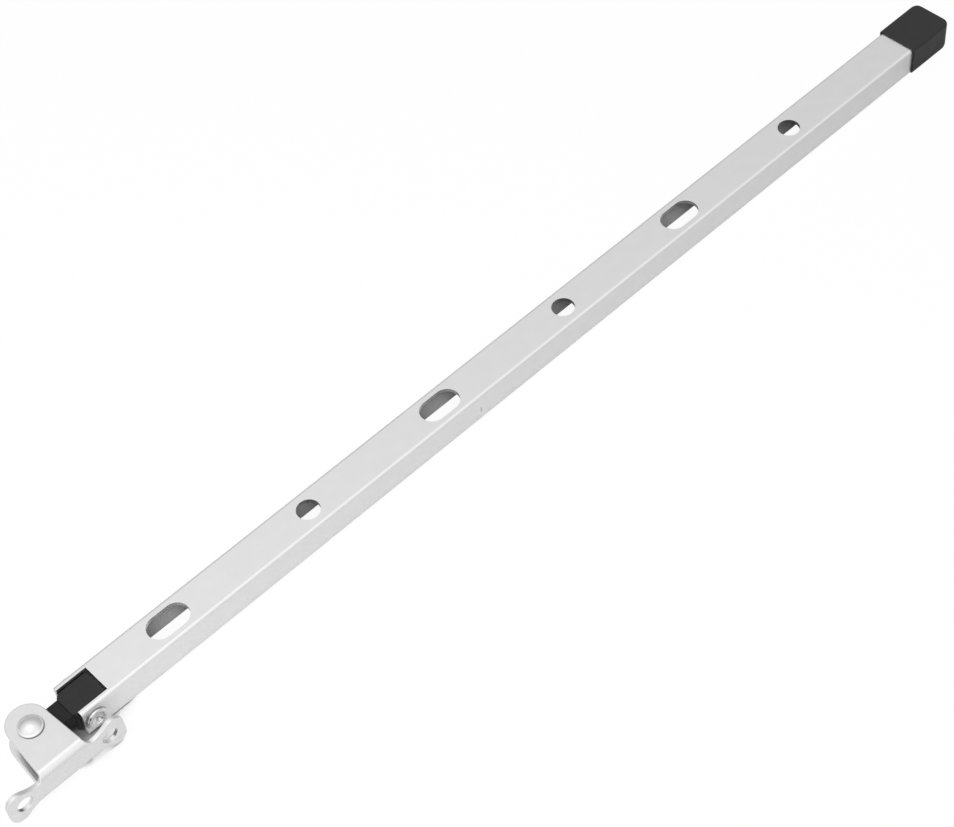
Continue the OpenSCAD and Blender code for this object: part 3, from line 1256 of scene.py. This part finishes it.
@dataclass
class Camera:
    """The photograph's camera, worked out from the bar's openings and edges."""

    place: Vector = field(default_factory=lambda: Vector((-74.4, -242.45, 389.4)) * MM)
    aim: Vector = field(default_factory=lambda: Vector((121.98, 5.35, 0.0)) * MM)
    roll_deg: float = -7.2
    lens_mm: float = 83.02

    def build(self) -> None:
        """Makes the camera and hands it to the scene."""
        data = bpy.data.cameras.new("camera")
        data.lens = self.lens_mm
        data.clip_start = 10 * MM
        camera = bpy.data.objects.new("camera", data)
        level = (self.aim - self.place).to_track_quat("-Z", "Y")
        camera.rotation_mode = "QUATERNION"
        camera.rotation_quaternion = level @ Quaternion((0, 0, 1), math.radians(self.roll_deg))
        camera.location = self.place
        bpy.context.scene.collection.objects.link(camera)
        bpy.context.scene.camera = camera


SIDE_NICK = NickAndShadeSpot(place=(124.3, 6.5, -1.6), half=(0.4, 0.6, 1.1), share=0.7)
# Painted contact shade round the flange rivet's rim
PAINTED_RIM_SHADE = NickAndShadeSpot(place=(11.95, 6.5, -1.05), half=(2.9, 0.8, 2.9), core=0.93)
# Painted contact shade under the ear rivet's head
PAINTED_HEAD_SHADE = NickAndShadeSpot(place=(0.03, 11.5, 3.9), half=(3.0, 3.0, 0.8), core=0.95)
# Painted shade inside the bar's channel
CHANNEL_SHADE = PaintedHollowShade(place=(150.0, 11.6, -1.8), half=(150.0, 4.5, 3.75))
BAR_METAL = MetalFinish(
    name="satin_aluminium",
    level=0.85,
    patch=0.012,
    roughness=0.34,
    unevenness=0.05,
    grain=Grain.ALONG_BAR,
    mark_mm=0.12,
    mark_depth_mm=0.006,
    nicks_and_painted_shade=(SIDE_NICK, PAINTED_RIM_SHADE, CHANNEL_SHADE),
)
PLATE_METAL = MetalFinish(
    name="zinc_plate",
    level=0.80,
    patch=0.014,
    roughness=0.3,
    unevenness=0.04,
    grain=Grain.ACROSS_PLATE,
    mark_mm=1.6,
    mark_depth_mm=0.003,
    mark_layers=2.0,
    nicks_and_painted_shade=(PAINTED_HEAD_SHADE,),
)
RIVET_METAL = MetalFinish(
    name="rivet_zinc",
    level=0.80,
    patch=0.012,
    roughness=0.22,
    unevenness=0.04,
    grain=Grain.ALL_WAYS,
    mark_mm=0.8,
    mark_depth_mm=0.006,
    mark_layers=2.0,
)
KNUCKLE_PLASTIC = MouldedFinish(
    name="knuckle_black",
    level=0.010,
    sheen=0.4,
    roughness=0.42,
    texture_mm=0.16,
    texture_depth_mm=0.02,
    dull_until_mm=8.2,
)
CAP_PLASTIC = MouldedFinish(
    name="cap_black",
    level=0.012,
    sheen=0.4,
    roughness=0.46,
    texture_mm=0.12,
    texture_depth_mm=0.02,
)


@dataclass
class Stay:
    """The whole stay as its dressed pieces."""

    pieces: tuple[KeptPiece | MadePiece, ...] = (
        KeptPiece("stay_bar", BAR_METAL),
        Bracket(PLATE_METAL),
        EarRivet(RIVET_METAL),
        FlangeRivet(RIVET_METAL),
        KeptPiece("knuckle", KNUCKLE_PLASTIC, edges=EdgeBreak(width_mm=0.15)),
        Cap(CAP_PLASTIC),
    )

    def dress(self) -> None:
        """Dresses every piece."""
        for piece in self.pieces:
            piece.dress()


def main() -> None:
    """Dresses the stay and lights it."""
    bpy.context.scene.view_settings.view_transform = "Standard"
    cad_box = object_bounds()
    Camera().build()
    Stay().dress()
    Studio().build(cad_box[0])


if __name__ == "__main__":
    logging.basicConfig(level=logging.INFO, format="%(name)s: %(message)s")
    main()
